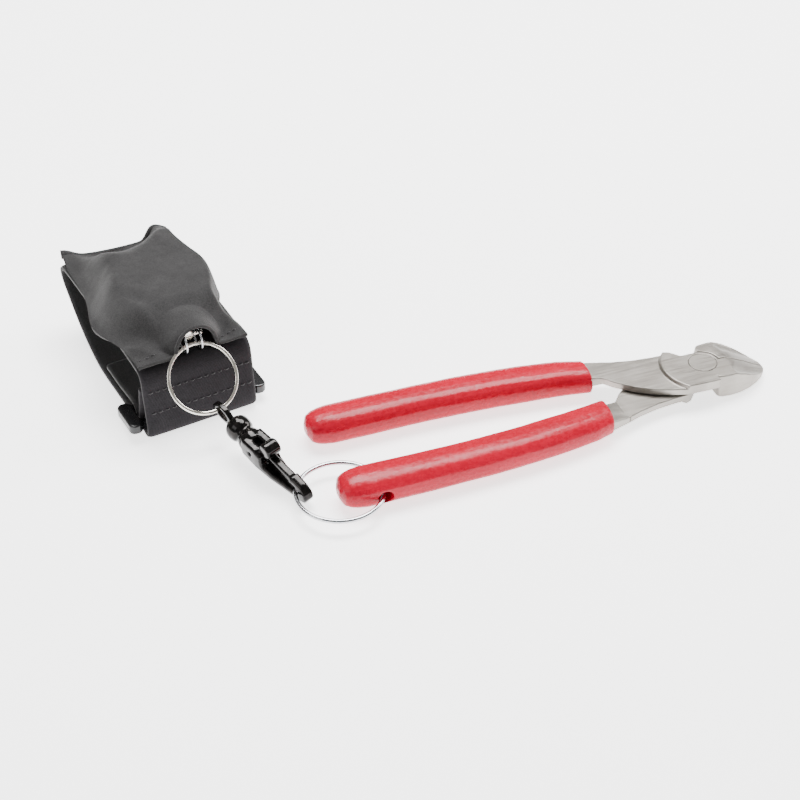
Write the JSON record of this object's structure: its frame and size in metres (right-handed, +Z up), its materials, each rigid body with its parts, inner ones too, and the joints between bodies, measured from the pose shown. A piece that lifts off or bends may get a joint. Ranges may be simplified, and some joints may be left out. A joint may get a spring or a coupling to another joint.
{
  "type": "fishing pliers",
  "caption": "Diagonal-jaw fishing pliers with dipped grips, a tether ring through one grip, a swivel snap, a split ring and a hooded cord reel on a wrist strap.",
  "frame": {"origin": "middle of the underside of the whole object as it lies", "axes": "+X along the closed pliers towards the jaws, +Z up, +Y towards the back of the strap"},
  "size_m": [0.2818, 0.1868, 0.0505],
  "materials": {
    "steel": "satin forged steel, warm grey",
    "grip_vinyl": "dipped vinyl, glossy red with a fine pebble",
    "bright_wire": "bright plated wire",
    "bright_nickel": "polished nickel",
    "black_nickel": "glossy black nickel",
    "spring_steel": "spring steel",
    "case_plastic": "moulded black plastic",
    "buckle_plastic": "glossy black plastic",
    "cord": "braided black cord",
    "strap_fabric": "charcoal jersey over neoprene",
    "hood_fabric": "charcoal stretch jersey",
    "patch_fabric": "black hook and loop"
  },
  "bodies": {
    "near_lever": {"lever_bottom": "steel", "pivot_rivet": "steel", "grip_near": "grip_vinyl"},
    "far_lever": {"lever_top": "steel", "grip_far": "grip_vinyl"},
    "tether": {"tether_ring": "bright_wire"},
    "snap": {"snap_body": "black_nickel", "trigger_pin": "black_nickel", "trigger_spring": "bright_wire"},
    "trigger": {"snap_trigger": "black_nickel"},
    "eye": {"swivel_eye": "black_nickel"},
    "split": {"split_ring": "bright_nickel"},
    "jump_rings": {"jump_ring_left": "bright_nickel", "jump_ring_right": "bright_nickel"},
    "cord_tail": {"cord_end": "bright_nickel", "pull_cord": "cord"},
    "pouch": {"hood": "hood_fabric", "wrist_band": "strap_fabric", "buckle": "buckle_plastic", "loop_patch": "patch_fabric", "hook_patch": "patch_fabric", "case_base": "case_plastic", "case_cover": "case_plastic", "mainspring": "spring_steel", "spindle_screw": "spring_steel"},
    "spool": {"reel_spool": "case_plastic", "cord_winding": "cord"}
  },
  "joints": [
    {"name": "pliers_open", "type": "hinge", "parent": "near_lever", "child": "far_lever", "pos_m": [0.11072, -0.05494, 0.00725], "axis": [0, 0, -1], "range_deg": [0, 26]},
    {"name": "tether_swing", "type": "hinge", "parent": "near_lever", "child": "tether", "pos_m": [-0.04628, -0.07634, 0.00585], "axis": [0, 1, 0], "range_deg": [-8, 70]},
    {"name": "snap_swing", "type": "hinge", "parent": "tether", "child": "snap", "pos_m": [-0.07805, -0.06525, 0.00585], "axis": [0.5105, 0.8599, 0], "range_deg": [-6, 20]},
    {"name": "trigger_press", "type": "hinge", "parent": "snap", "child": "trigger", "pos_m": [-0.08682, -0.04344, 0.0117], "axis": [0.931, 0.3343, 0.1467], "range_deg": [0, 9], "stiffness_Nm_per_rad": 0.05},
    {"name": "snap_swivel", "type": "hinge", "parent": "snap", "child": "eye", "pos_m": [-0.09409, -0.02448, 0.01465], "axis": [-0.3583, 0.9139, 0.191], "continuous": true},
    {"name": "split_ring_swing", "type": "hinge", "parent": "eye", "child": "split", "pos_m": [-0.09632, -0.01883, 0.0159], "axis": [0.946, 0.2788, 0.1652], "range_deg": [-10, 10]},
    {"name": "jump_ring_swing", "type": "hinge", "parent": "split", "child": "jump_rings", "pos_m": [-0.10222, -0.00153, 0.03892], "axis": [0.988, 0.1547, 0], "range_deg": [-6, 6]},
    {"name": "cord_end_swing", "type": "hinge", "parent": "jump_rings", "child": "cord_tail", "pos_m": [-0.1027, 0.00156, 0.04185], "axis": [0.988, 0.1547, 0], "range_deg": [-2, 6]},
    {"name": "cord_pull", "type": "slide", "parent": "cord_tail", "child": "pouch", "axis": [-0.1547, 0.988, 0], "range_m": [0, 0.012]},
    {"name": "spool_spin", "type": "hinge", "parent": "pouch", "child": "spool", "pos_m": [-0.10291, 0.04171, 0.04185], "axis": [0, 0, 1], "range_deg": [0, 120]}
  ],
  "couplings": [
    {"joint": "spool_spin", "follows": "cord_pull", "rad_per_m": 166.67}
  ]
}
